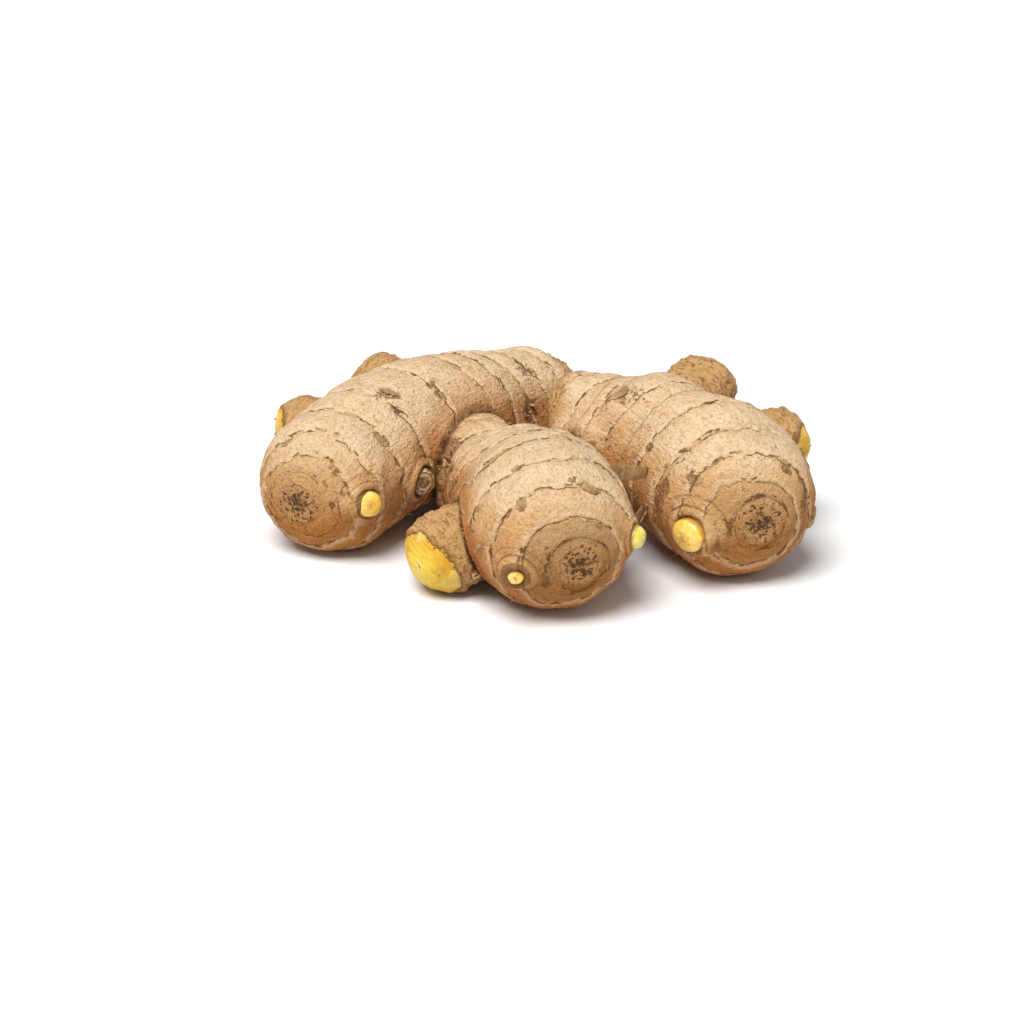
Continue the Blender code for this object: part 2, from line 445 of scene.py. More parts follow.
lumps = 0.75 * grain_noise(points, 13 * MM, 5) + 0.20 * grain_noise(points, 4.5 * MM, 6)
wrinkles = 0.11 * grain_noise(grain * (1, 1, 0.35) * MM, 1.5 * MM, 12)
pebbles = 0.06 * grain_noise(points, 1.5 * MM, 14)
height += lumps * (1 - 0.5 * on_tip) + wrinkles + pebbles
print("Rings and wrinkles reach", height.min().round(2), "to", height.max().round(2), "mm")

# %% Scars and creases
height -= 0.50 * (1 - ease(0, 4.6, scar_away)) + 0.30 * (1 - ease(6.5, 8.5, scar_away))
height += 0.24 * hump(scar_away, 5.2, 0.45)
height += 0.14 * hump(scar_away, 7.6, 0.5)
height += 0.17 * grain_noise(points, 0.8 * MM, 31) * (1 - ease(4.3, 5.6, scar_away))
height -= drawn_in

# %% Grooves and collars round the buds
# (radius and width of the collar in bud radii, its height in mm, how far brown scales reach)
COLLARS = {
    "left_bud": (1.42, 0.28, 0.40, 1.0),
    "left_torn_bud": (1.30, 0.28, 0.75, 1.1),
    "middle_small_bud": (1.55, 0.40, 1.00, 1.75),
    "middle_side_bud": (1.40, 0.28, 0.50, 1.0),
    "right_bud": (1.32, 0.28, 0.60, 1.0),
}
bud_near = np.full(len(points), 9.0)
for name, (place, _) in bud_places.items():
    size = BUDS[name][4]
    collar, width, rise, brown = COLLARS[name]
    away = away_from(points, place) + 0.25 * grain_noise(points, 2.2 * MM, size)
    bud_near = np.minimum(bud_near, away / size / brown)
    height += rise * hump(away, size * collar, width * size)
    height -= 0.55 * hump(away, size * 1.06, 0.40)
    height -= 0.35 * (1 - ease(size * 0.6, size * 1.0, away))

# %% Old stubs, the broken back ends and the bare yellow sides
stub = np.zeros(len(points))
bare = np.full(len(points), -1.0)
BARE = {
    # shoot: (where its bare yellow side faces, as turn and climb, and the cosine of its reach)
    "yellow_shoot": (-136, -20, 0.38),
    "stub_left_side": (-168, 8, 0.66),
    "stub_right_side": (-24, 6, 0.74),
}
for line in shoots:
    mine = owner == NUMBER[line.name]
    from_tip = points[mine] - line.points[-1]
    along = np.linalg.norm(from_tip, axis=1) / line.radii[-1]
    stub[mine] = (1 - ease(1.15, 1.9, along)) * ease(0.0, 1.5, meeting[mine])
    if line.name in BARE:
        turn, climb, cut = BARE[line.name]
        facing = from_tip / line.radii[-1] @ np.array(direction(turn, climb))
        bare[mine] = facing - cut - np.maximum(along - 1.25, 0) * 3

broken = np.zeros(len(points))
# where the torn back end starts and where all is torn, in radii past the middle of that end
BROKEN_FROM = {"left": (0.05, 0.55), "right": (-0.25, 0.35)}
for name, (first_torn, all_torn) in BROKEN_FROM.items():
    line = lines[NUMBER[name]]
    mine = owner == NUMBER[name]
    ahead = line.points[6] - line.points[0]
    ahead /= np.linalg.norm(ahead)
    behind = -(points[mine] - line.points[0]) @ ahead / line.radii[0]
    broken[mine] = ease(first_torn, all_torn, behind)

ribs = grain_noise(grain * (0.3, 0.3, 1.5) * MM, 1.9 * MM, 44)
rough = grain_noise(points, 1.6 * MM, 47)
torn = grain_noise(points, 3.0 * MM, 51, octaves=3)
ragged = 0.12 * grain_noise(points, 2.2 * MM, 63, octaves=3)
peeled = ease(-0.06, 0.06, bare + ragged)
height += stub * (1 - peeled) * (0.50 * ribs + 0.35 * rough + 0.50 * torn + 0.20)
height -= 0.10 * peeled
height += broken * (0.75 * torn + 0.25 * ribs)
print("Bare yellow points:", int((peeled > 0.5).sum()))

# %% Move the points
moved = points + normals * height[:, None] * MM
moved[:, 2] = np.maximum(moved[:, 2], low.z)
skin_data.vertices.foreach_set("co", moved.ravel())
skin_data.update()
print("Lowest point", round(moved[:, 2].min() / MM, 3), "mm")

# %% [markdown]
# ## Marks at known places
# Some marks are not spread by chance: a torn patch on top of the left finger, rags of leaf scale
# on the rings of the middle one, brown flecks on the right one. Each is given by its finger, its
# distance from the stem scar and how far round from the top it lies, which stays true even if the
# finger's shape is changed later.


# %% Find a place on a finger
ring_away = np.full(len(points), NOWHERE)  # mm from the scar as the rings count it
for line in fingers:
    mine = owner == NUMBER[line.name]
    ring_away[mine] = np.interp(ring[mine], np.arange(len(RINGS[line.name])), RINGS[line.name])
round_turn = np.degrees(np.arctan2(grain[:, 0], grain[:, 1]))
thick = np.hypot(grain[:, 0], grain[:, 1])


def sideways(turn_at):
    """How far round each point lies from a turn, in mm."""
    return radians(1) * ((round_turn - turn_at + 180) % 360 - 180) * np.maximum(thick, 6)


def spot(finger, away, turn_at):
    """The number of the skin's point nearest to a place on a finger."""
    miss = np.hypot(ring_away - away, sideways(turn_at))
    miss[owner != NUMBER[finger]] = 999
    return int(miss.argmin())


# (finger, mm from the scar, degrees round from the top, radius in mm, strength)
BLOTCHES = [
    ("left", 38.0, 21, 4.0, 0.8), ("left", 51.3, 31, 1.8, 0.8), ("left", 49.9, 43, 2.0, 0.8),
    ("left", 36.1, 38, 1.8, 0.7), ("left", 11.4, 50, 1.8, 0.8), ("left", 9.5, 76, 3.2, 0.5),
    ("left", 82, 31, 4.5, 0.6), ("left", 76, 70, 5, 0.7), ("left", 30, -40, 2.5, 0.6),
    ("left", 60, -20, 3.0, 0.6), ("middle", 35, -42, 1.8, 0.6), ("middle", 20.5, 11, 1.4, 0.8),
    ("middle", 69, -46, 4.0, 0.9), ("middle", 44, 60, 3, 0.5), ("middle", 14, -116, 4.2, 0.5),
    ("right", 51.6, -34, 5.0, 0.6), ("right", 55.5, -43, 2.2, 1.0), ("right", 34.2, -60, 1.9, 1.0),
    ("right", 38, -68, 1.3, 0.9), ("right", 22.7, -73, 3.2, 0.9), ("right", 23, -86, 3.6, 0.9),
    ("right", 18.3, -56, 2.6, 0.8), ("right", 15.7, 33, 2.6, 0.7), ("right", 30, 60, 3.0, 0.6),
    ("right", 12.8, -103, 2.0, 0.9), ("right", 25, -42, 1.2, 0.8), ("right", 16, 80, 3.5, 0.8),
]
blotch = np.zeros(len(points))
for finger, away, turn_at, size, strength in BLOTCHES:
    centre = points[spot(finger, away, turn_at)]
    near = away_from(points, centre) / size
    blotch = np.maximum(blotch, strength * (1 - ease(0.3, 1.3, near)))
print("Placed", len(BLOTCHES), "blotches")


# %% Keep the measures on the skin
def keep(data, name, values):
    """Stores one number, or one vector, for each point of a mesh."""
    kind = "FLOAT" if values.ndim == 1 else "FLOAT_VECTOR"
    attribute = data.attributes.new(name, kind, "POINT")
    field = "value" if values.ndim == 1 else "vector"
    attribute.data.foreach_set(field, values.astype(np.float32).ravel())


# how brown and grey the skin is inside the ring round each scar
PLATE = {"left": 0.20, "middle": 0.95, "right": 0.50}
plate = np.zeros(len(points))
for name, share in PLATE.items():
    plate[owner == NUMBER[name]] = share
# painted shade: darker where fingers meet (shade) and on faces turned down (low_side)
shade = 1 - ease(0, 13, meeting)
low_side = 1 - ease(-0.60, 0.82, normals[:, 2])

# the painted shade in creases and between fingers is weaker on faces turned up to the light
facing_up = ease(0.2, 0.9, normals[:, 2])
kept = {
    "ring": ring, "spacing": spacing, "scar": scar_away, "bud": bud_near, "bare": bare,
    "crease": crease * (1 - 0.35 * facing_up), "shade": shade * (1 - 0.5 * facing_up),
    "low_side": low_side, "plate": plate, "stub": np.maximum(stub, broken), "blotch": blotch,
    "grain": grain,
}
for name, values in kept.items():
    keep(skin_data, name, values)
print("Kept", len(kept), "measures on the skin")

# %% [markdown]
# ## Shader maths as plain expressions
# A material that follows measures is mostly arithmetic. Written as node calls it is long and hard
# to read, so this small class wraps a socket and lets Python's own operators add the Math nodes.


# %% Wrapped sockets
class Value:
    """A node's output that can be used in sums and products."""

    def __init__(self, tree, socket):
        self.tree = tree
        self.socket = socket

    def math(self, operation, *others):
        made = self.tree.nodes.new("ShaderNodeMath")
        made.operation = operation
        for index, other in enumerate((self, *others)):
            connect(self.tree, other, made.inputs[index])
        return Value(self.tree, made.outputs[0])

    def __add__(self, other):
        return self.math("ADD", other)

    def __sub__(self, other):
        return self.math("SUBTRACT", other)

    def __mul__(self, other):
        return self.math("MULTIPLY", other)

    def __truediv__(self, other):
        return self.math("DIVIDE", other)

    def __rsub__(self, other):
        return self * -1.0 + other

    __radd__ = __add__
    __rmul__ = __mul__

    def ramp(self, start, end):
        """0 at start and 1 at end, eased and clamped. end may lie below start."""
        made = self.tree.nodes.new("ShaderNodeMapRange")
        made.interpolation_type = "SMOOTHSTEP"
        connect(self.tree, self, made.inputs["Value"])
        made.inputs["From Min"].default_value = min(start, end)
        made.inputs["From Max"].default_value = max(start, end)
        made.inputs["To Min"].default_value = float(end < start)
        made.inputs["To Max"].default_value = float(end >= start)
        return Value(self.tree, made.outputs["Result"])


def connect(tree, source, socket):
    if isinstance(source, Value):
        tree.links.new(source.socket, socket)
    else:
        socket.default_value = source


class Finish:
    """A new material, with short ways to add the nodes that it needs."""

    def __init__(self, name, roughness=0.6):
        self.material = bpy.data.materials.new(name)
        self.material.use_nodes = True
        self.tree = self.material.node_tree
        self.shader = self.tree.nodes["Principled BSDF"]
        self.shader.inputs["Roughness"].default_value = roughness
        self.place = self.node("ShaderNodeTexCoord", output="Object")

    def node(self, kind, settings=None, inputs=None, output=0):
        """Adds any node: its settings first, then the values or links of its sockets."""
        made = self.tree.nodes.new(kind)
        for name, value in (settings or {}).items():
            setattr(made, name, value)
        for name, value in (inputs or {}).items():
            connect(self.tree, value, made.inputs[name])
        return Value(self.tree, made.outputs[output])

    def measure(self, name, output="Fac"):
        return self.node("ShaderNodeAttribute", {"attribute_name": name}, output=output)

    def noise(self, vector, scale, detail=3.0, roughness=0.55):
        """Soft noise from 0 to 1. scale is grains for each unit of the vector."""
        sockets = {"Vector": vector, "Scale": scale, "Detail": detail, "Roughness": roughness}
        return self.node("ShaderNodeTexNoise", inputs=sockets)

    def stretched(self, vector, by):
        return self.node("ShaderNodeVectorMath", {"operation": "MULTIPLY"}, {0: vector, 1: by})

    def mix(self, share, first, second, way="MIX"):
        """Mixes two colours by a share. The way can be any of the Mix node's, such as MULTIPLY."""
        colours = [c if isinstance(c, Value) else (*c, 1.0) for c in (first, second)]
        settings = {"data_type": "RGBA", "blend_type": way}
        sockets = {0: share, 6: colours[0], 7: colours[1]}  # a Mix node's colours are its 6 and 7
        return self.node("ShaderNodeMix", settings, sockets, output=2)

    def coats(self, tone, *coats):
        """Lays (share, colour) coats over a tone, one after the other."""
        for share, colour in coats:
            tone = self.mix(share, tone, colour)
        return tone

    def paint(self, tone):
        connect(self.tree, tone, self.shader.inputs["Base Color"])

    def gloss(self, roughness):
        connect(self.tree, roughness, self.shader.inputs["Roughness"])

    def relief(self, height_value, depth, strength=0.9):
        """Bumps as deep as depth, in metres, where the height value goes from 0 to 1."""
        sockets = {"Strength": strength, "Distance": depth, "Height": height_value}
        bumped = self.node("ShaderNodeBump", inputs=sockets)
        connect(self.tree, bumped, self.shader.inputs["Normal"])


# %% [markdown]
# ## The skin's finish
# Fresh ginger has a thin, dry, tan skin, a little pink where it is young. Here it is also painted
# browner where it is shut in, partly as dirt and partly as painted shade, with painted shade on the
# undersides, paler cream on top as painted highlight and a pale painted highlight along each ring.
# Under a lens it is finely wrinkled along the finger. Every ring is a thin, ragged brown line, and
# here and there a rag of the old leaf scale still hangs from it towards the tip. The stem scar is a
# brown disc full of dark dots where the stem's fibres broke off. All of it is drawn from the
# measures kept on the points, with noise for the wobble.

# %% Skin colours
TAN = (0.715, 0.435, 0.195)
PINK = (0.755, 0.485, 0.25)
HIGHLIGHT_CREAM = (0.86, 0.7, 0.51)
HONEY = (0.83, 0.6, 0.345)
OCHRE = (0.6, 0.36, 0.13)
SHADE = (0.38, 0.18, 0.06)
BROWN = (0.24, 0.112, 0.038)
DARK = (0.078, 0.029, 0.009)
LINE = (0.21, 0.084, 0.024)
PLATE_BROWN = (0.56, 0.29, 0.11)
STUB_TAN = (0.66, 0.375, 0.145)
PLATE_SHADE = (0.79, 0.84, 0.93)
WARM_SHADOW = (0.68, 0.38, 0.14)
YELLOW = (0.8, 0.56, 0.065)
GOLD = (0.72, 0.39, 0.035)

finish = Finish("ginger_skin", 0.55)
round_skin = finish.measure("grain", "Vector")
ring_count = finish.measure("ring")
ring_gap = finish.measure("spacing")
scar_mm = finish.measure("scar")
crease_share = finish.measure("crease")
stub_share = finish.measure("stub")
bud_share = finish.measure("bud")
low_share = finish.measure("low_side")

broad = finish.noise(finish.place, 45)
patchy = finish.noise(finish.place, 190, 4)
mottled = finish.noise(finish.place, 900, 4, 0.65)
speckled = finish.noise(finish.place, 2200, 2)
striped = finish.noise(finish.stretched(round_skin, (1, 1, 0.25)), 0.50, 4)
wrinkled = finish.noise(finish.stretched(round_skin, (1, 1, 0.45)), 1.30, 4, 0.65)
pitted = finish.noise(finish.place, 1500, 2, 0.6)

near_tip = scar_mm.ramp(24, 9) * broad.ramp(0.38, 0.60)
tone = finish.coats(
    finish.mix(broad.ramp(0.30, 0.70), TAN, PINK),
    (patchy.ramp(0.35, 0.80) * 0.5, HONEY),
    # painted highlight: faces turned up are coated paler cream
    (low_share.ramp(0.24, 0.02) * 0.52, HIGHLIGHT_CREAM),
    (striped.ramp(0.60, 0.30) * 0.35, OCHRE),
    (wrinkled.ramp(0.50, 0.30) * 0.50, SHADE),
    (mottled.ramp(0.52, 0.70) * 0.58, SHADE),
    (mottled.ramp(0.48, 0.30) * 0.55, HONEY),
    (pitted.ramp(0.55, 0.72) * 0.30, SHADE),
    (speckled.ramp(0.58, 0.80) * 0.30, BROWN),
    (near_tip * 0.45, OCHRE),
)
# painted shade: a warm shadow colour multiplied in on faces turned down and where fingers meet
tone = finish.mix(low_share * 0.95, tone, WARM_SHADOW, "MULTIPLY")
tone = finish.mix(finish.measure("shade") * 0.85, tone, WARM_SHADOW, "MULTIPLY")


# %% Ring lines
def fold(value):
    """Distance from the nearest whole number, with its sign."""
    return (value + 0.5).math("FRACT") - 0.5


cells = {"Vector": finish.place, "Scale": 430.0}
flecks = finish.node("ShaderNodeTexVoronoi", inputs=cells, output="Color")
steps_of_edge = finish.node("ShaderNodeSeparateColor", inputs={"Color": flecks}) - 0.5
jitter = (finish.noise(finish.place, 300, 6, 0.7) - 0.5) * 2.0
near_ring = fold(ring_count) * ring_gap + jitter * 0.50 + steps_of_edge * 1.0
line_width = finish.noise(finish.place, 330, 3).ramp(0.42, 0.8) * 0.26 + 0.065
ring_line = (near_ring.math("ABSOLUTE") / line_width).ramp(1.6, 0.5)
strength = patchy.ramp(0.38, 0.56) * 0.80 + 0.20
is_line = ring_line * strength * ring_count.ramp(0.4, 0.8)
glow = (near_ring.math("ABSOLUTE") + jitter * 0.2).ramp(1.5, 0.05) * ring_count.ramp(2.2, 2.8)
glow = glow * broad.ramp(0.30, 0.62)

hang = (finish.noise(finish.place, 115, 3, 0.6) - 0.62) * 26.0 + near_ring
rag = hang.ramp(-0.1, 0.1) * near_ring.ramp(0.25, 0.0) * ring_count.ramp(2.2, 3.0)
rag_edge = rag * hang.ramp(0.5, 0.1)

plate_edge = (ring_count + steps_of_edge * 0.03).ramp(3.02, 2.96)
tone = finish.mix(plate_edge * finish.measure("plate"), tone, PLATE_SHADE, "MULTIPLY")
# painted highlight: a pale cream band along the raised edge of each ring
ledge_highlight = near_ring.ramp(0.2, 0.5) * near_ring.ramp(1.6, 0.7) * ring_count.ramp(2.2, 2.8)
tone = finish.coats(
    tone, (glow * 0.50, OCHRE), (ledge_highlight * 0.30, HIGHLIGHT_CREAM), (rag * 0.55, BROWN),
    (rag_edge * 0.5, DARK), (is_line * 0.93, LINE),
)

# %% Stem scars
dots = finish.noise(finish.place, 1050, 3, 0.7)
dot_cut = scar_mm.ramp(0.0, 6.0) * 0.12 + 0.43
in_disc = (scar_mm + jitter * 0.3).ramp(6.0, 5.0)
is_dot = ((dots - dot_cut) * 9.0).ramp(0.0, 1.0) * in_disc
outer_dots = ((dots - 0.56) * 10.0).ramp(0.0, 1.0) * (scar_mm + jitter * 0.4).ramp(8.4, 7.0)
tone = finish.coats(
    tone, (in_disc * 0.75, PLATE_BROWN), (scar_mm.ramp(4.2, 0.5) * 0.40, BROWN),
    (is_dot * 0.9, DARK), (outer_dots * 0.65, DARK),
)

# %% Blotches, creases, stubs and buds
blotchy = finish.measure("blotch") * 1.1 + (mottled - 0.5) * 2.2 + (patchy - 0.5) * 1.2
blotchy = blotchy.ramp(0.50, 0.72)
# the creases are painted darker: partly dirt, partly painted shade
dirt_and_crease_shade = (crease_share + (mottled - 0.5) * 0.8 + (patchy - 0.5) * 0.5).ramp(0.25, 1.0)
fibre = finish.noise(finish.stretched(round_skin, (0.30, 0.30, 1.5)), 1.3, 4, 0.6)
stub_tone = finish.coats(
    finish.mix(fibre.ramp(0.30, 0.54), BROWN, STUB_TAN),
    (patchy.ramp(0.5, 0.62) * 0.4, OCHRE), (mottled.ramp(0.56, 0.70) * 0.7, DARK),
)
on_stub = (stub_share + (patchy - 0.5) * 0.7 + (mottled - 0.5) * 0.3).ramp(0.1, 0.8)
wobbly = bud_share + jitter * 0.10
collar_line = (wobbly - 1.72).math("ABSOLUTE").ramp(0.11, 0.03) * 0.7
collar_line = collar_line + (wobbly - 2.35).math("ABSOLUTE").ramp(0.11, 0.03) * 0.5
tone = finish.coats(
    tone, (blotchy * 0.70, BROWN), (blotchy * speckled.ramp(0.48, 0.62) * 0.65, DARK),
    # creases: brown that is partly dirt and partly painted shade, dark as painted shade at the
    # deepest
    (dirt_and_crease_shade * 0.85, BROWN), (crease_share.ramp(0.55, 0.95) * 0.8, DARK),
    (on_stub * 0.92, stub_tone), (bud_share.ramp(1.8, 1.2) * 0.5, OCHRE),
    (collar_line * patchy.ramp(0.36, 0.55), LINE),
    ((bud_share + jitter * 0.04).ramp(1.22, 1.08) * 0.85, BROWN),
)

# %% Bare yellow sides, where the skin is off
bare_side = finish.measure("bare")
bare_edge = bare_side + (patchy - 0.5) * 0.5 + (mottled - 0.5) * 0.22
on_bare = bare_edge.ramp(-0.02, 0.03) * bare_side.ramp(-0.35, -0.2)
bare_rim = bare_edge.ramp(-0.12, -0.02) * bare_edge.ramp(0.06, 0.0) * bare_side.ramp(-0.35, -0.2)
bare_tone = finish.coats(
    finish.mix(bare_edge.ramp(0.45, 0.0), YELLOW, GOLD),
    (patchy.ramp(0.48, 0.62) * 0.60, (0.86, 0.62, 0.20)),
    (patchy.ramp(0.42, 0.30) * 0.70, (0.60, 0.32, 0.05)),
    (mottled.ramp(0.60, 0.72) * 0.60, (0.42, 0.20, 0.03)),
)
tone = finish.coats(tone, (on_bare, bare_tone), (bare_rim * 0.6, BROWN))
finish.paint(tone)

# %% Relief and gloss
relief = wrinkled * 0.9 + mottled * 0.55 + pitted * 0.45 + speckled * 0.15
relief = relief * (1.0 - on_bare * 0.85) - is_line * 0.8 + rag * 0.4 - is_dot * 0.5
relief = relief + on_stub * fibre * 0.9
finish.relief(relief, 0.0013)
finish.gloss(0.52 + mottled * 0.22 - on_bare * 0.20)
finish.shader.inputs["Specular IOR Level"].default_value = 0.14

skin_data.materials.clear()
skin_data.materials.append(finish.material)
skin_data.shade_smooth()
skin = placed("skin", skin_data)
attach(skin, "root")
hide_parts("ginger_rhizome")


# %% [markdown]
# ## Rags of leaf scale
# Where a ring's leaf scale has not rotted away, a thin brown flap of it still lies on the skin. It
# could be painted only, but its free edge casts a fine shadow, so each is real: the skin's own
# faces in a half oval below the ring are copied, lifted off a little towards the free edge, and
# given the thickness of paper.


# %% Copy the flaps from the skin
def finished(name, work_mesh, material):
    """Makes the object from a bmesh and puts it in the scene, riding on the rhizome."""
    bmesh.ops.recalc_face_normals(work_mesh, faces=work_mesh.faces)
    data = bpy.data.meshes.new(name)
    work_mesh.to_mesh(data)
    work_mesh.free()
    data.materials.append(material)
    data.shade_smooth()
    made = placed(name, data)
    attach(made, "root")
    return made


# (finger, mm from the scar where it hangs, degrees round, width, length in mm)
RAGS = [
    ("left", 40.5, 20, 7.5, 3.4), ("left", 51.4, 32, 3.0, 1.6), ("left", 50.8, 44, 3.0, 1.6),
    ("left", 63, 20, 4.0, 2.0), ("left", 69.5, -30, 5.0, 2.2), ("left", 35, -48, 5.0, 2.2),
    ("left", 25.8, -95, 4.5, 2.4), ("left", 18, -60, 3.5, 1.8), ("left", 76, 10, 5.0, 2.6),
    ("left", 50.8, -60, 6.0, 2.6), ("left", 63, 75, 4.5, 2.0), ("left", 26.5, 60, 2.0, 1.0),
    ("middle", 36.3, -43, 10.0, 2.4), ("middle", 19.8, -40, 4.0, 3.2),
    ("middle", 19.8, 28, 6.0, 2.4), ("middle", 12.4, 33, 3.6, 1.6), ("middle", 12.4, 54, 3.2, 1.8),
    ("middle", 46.8, 10, 4.0, 1.6), ("middle", 27, 75, 4.5, 2.2), ("middle", 54, 30, 5.0, 2.2),
    ("middle", 36.3, 100, 5.0, 2.6), ("middle", 27, -120, 5.0, 2.4), ("middle", 27, 12, 2.6, 0.9),
    ("right", 17.4, -56, 3.6, 2.2), ("right", 25.2, -42, 1.6, 1.4), ("right", 55.2, -36, 7.0, 3.4),
    ("right", 17.3, 30, 5.0, 1.3), ("right", 35.2, -60, 2.6, 1.4), ("right", 48.8, 55, 5.0, 2.6),
    ("right", 35.2, 45, 4.0, 1.8), ("right", 25.2, 65, 5.0, 2.2), ("right", 65, -10, 6.0, 2.6),
    ("right", 25.2, 120, 5.0, 2.6), ("right", 48.8, -80, 5.0, 2.4), ("right", 35.2, -20, 2.2, 1.0),
]
free = np.full(len(points), -1.0)  # mm from the ring along the flap, minus where there is none
edge_wobble = 0.45 * grain_noise(points, 1.6 * MM, 71)
for finger, hang_at, turn_at, width, length in RAGS:
    down = hang_at - ring_away + 0.3
    half = np.clip(1 - (sideways(turn_at) / (width / 2)) ** 2, 0, 1) ** 0.5
    inside = (owner == NUMBER[finger]) & (down > 0) & (half > 0)
    inside &= down < (length + edge_wobble) * half
    free[inside] = np.maximum(free[inside], down[inside])

work = opened(skin_data)
bare_faces = [f for f in work.faces if not all(free[v.index] > 0 for v in f.verts)]
lift = work.verts.layers.float.new("lift")
for vert in work.verts:
    vert[lift] = max(free[vert.index], 0)
bmesh.ops.delete(work, geom=bare_faces, context="FACES")
bmesh.ops.subdivide_edges(work, edges=work.edges, cuts=1, use_grid_fill=True)
rim = [v for v in work.verts if v.is_boundary]
every_way = {"use_axis_x": True, "use_axis_y": True, "use_axis_z": True}
for _ in range(3):
    bmesh.ops.smooth_vert(work, verts=rim, factor=0.5, **every_way)
work.normal_update()
for vert in work.verts:
    rise = 0.10 + 0.10 * vert[lift] + 0.12 * noise.noise(vert.co / (1.3 * MM))
    vert.co += vert.normal * rise * MM
bmesh.ops.solidify(work, geom=work.faces, thickness=0.13 * MM)
print("The leaf scale rags have", len(work.faces), "faces")

scale_finish = Finish("leaf_scale", 0.7)
streaks = scale_finish.noise(scale_finish.place, 600, 4, 0.65)
clouds = scale_finish.noise(scale_finish.place, 200, 3)
tone = scale_finish.coats(
    scale_finish.mix(clouds.ramp(0.35, 0.65), (0.330, 0.180, 0.075), (0.500, 0.310, 0.150)),
    (streaks.ramp(0.52, 0.66) * 0.75, (0.130, 0.055, 0.020)),
    (streaks.ramp(0.44, 0.30) * 0.6, (0.640, 0.450, 0.260)),
)
scale_finish.paint(tone)
scale_finish.relief(streaks, 0.0003)
finished("leaf_scale_rags", work, scale_finish.material)

# %% [markdown]
# ## Buds
# A ginger bud is a waxy yellow button that pushes out of its collar, with a small scorched tip. It
# is smooth and round, so it is turned like a bead: a profile of a few points is spun round an
# upright axis, then set into the skin.


# %% Spin a bud
def spun(profile):
    """A closed round shape from (radius, height) points, spun about the upright axis."""
    work = bmesh.new()
    verts = [work.verts.new((radius, 0, up)) for radius, up in profile]
    edges = [work.edges.new(pair) for pair in zip(verts, verts[1:])]
    bmesh.ops.spin(
        work, geom=verts + edges, cent=(0, 0, 0), axis=(0, 0, 1), dvec=(0, 0, 0),
        angle=2 * pi, steps=36, use_merge=True, use_duplicate=False,
    )
    bmesh.ops.remove_doubles(work, verts=work.verts, dist=0.001 * MM)
    return work


def bud_finish(name, clear, cloudy, scorched, fleck, fleck_share):
    """Waxy flesh: clear and cloudy, with a scorched tip and foot, and flecks by their share."""
    made = Finish(name, 0.36)
    tip = made.measure("tip")
    clouds = made.noise(made.place, 350, 3)
    grains = made.noise(made.place, 1500, 3)
    swirl = (tip * 4.5 + clouds * 1.5).math("FRACT").ramp(0.55, 0.85)
    tone = made.coats(
        made.mix(clouds.ramp(0.35, 0.7), clear, cloudy),
        (grains.ramp(0.60 - fleck_share * 0.15, 0.70) * fleck_share, fleck),
        (swirl * max(fleck_share - 0.4, 0) * 1.4, fleck),
        ((tip + (grains - 0.5) * 0.5).ramp(0.84, 1.0) * 0.7, scorched),
        ((tip + (clouds - 0.5) * 0.3).ramp(0.42, 0.15) * 0.8, scorched),
    )
    made.paint(tone)
    made.shader.inputs["Coat Weight"].default_value = 0.15
    made.relief(clouds * 0.5 + grains * 0.4, 0.0002, 0.6)
    return made.material


fresh_bud = bud_finish(
    "bud_yellow", (0.84, 0.51, 0.06), (0.9, 0.63, 0.19), (0.46, 0.2, 0.03), (0.58, 0.28, 0.03), 0.4
)
green_bud = bud_finish(
    "bud_green", (0.66, 0.57, 0.07), (0.78, 0.66, 0.2), (0.3, 0.17, 0.04), (0.45, 0.32, 0.05), 0.3
)
torn_bud = bud_finish(
    "bud_torn", (0.5, 0.3, 0.12), (0.66, 0.45, 0.24), (0.14, 0.06, 0.02), (0.07, 0.03, 0.01), 1.0
)
BUD_PROFILE = [(0.0, -0.5), (0.80, -0.5), (0.97, -0.2), (1.0, 0.08), (0.96, 0.28), (0.86, 0.50)]
BUD_PROFILE += [(0.68, 0.70), (0.44, 0.84), (0.26, 0.90), (0.14, 0.96), (0.0, 0.97)]
# how tall and how wide each bud is for its radius, how rough in mm, its finish, and the way it
# leans: a turn, a climb and a share
BUD_SHAPES = {
    "left_bud": (0.64, 1.06, 0.12, fresh_bud, (-90, 14, 0.66)),
    "left_torn_bud": (0.60, 1.0, 0.40, torn_bud, (-88, 14, 0.72)),
    "middle_small_bud": (0.72, 1.05, 0.34, fresh_bud, (-90, 20, 0.3)),
    "middle_side_bud": (1.00, 1.05, 0.10, green_bud, (-40, 25, 0.3)),
    "right_bud": (0.66, 1.12, 0.12, fresh_bud, (-90, 0, 0.30)),
}
for name, (finger, share, turn, climb, size) in BUDS.items():
    tall, wide, rough_by, material, (lean_turn, lean_climb, lean) = BUD_SHAPES[name]
    where, normal = bud_places[name]
    work = spun([(radius * size * MM, rise * tall * size * MM) for radius, rise in BUD_PROFILE])
    bmesh.ops.subdivide_edges(work, edges=work.edges, cuts=1, smooth=1.0, use_grid_fill=True)
    bmesh.ops.scale(work, vec=(wide, 1, 1), verts=work.verts)
    top = max(vertex.co.z for vertex in work.verts)
    tip_heights = np.array([vertex.co.z / top for vertex in work.verts])
    axis = normal.lerp(direction(lean_turn, lean_climb), lean)
    stand = Matrix.Translation(where) @ axis.to_track_quat("Z", "Y").to_matrix().to_4x4()
    bmesh.ops.transform(work, matrix=stand, verts=work.verts)
    work.normal_update()
    for vertex in work.verts:
        vertex.co += vertex.normal * rough_by * MM * noise.noise(vertex.co / (1.5 * MM))
    bud = finished(name, work, material)
    keep(bud.data, "tip", tip_heights)
    print(name, "stands at", [round(v / MM, 1) for v in where])

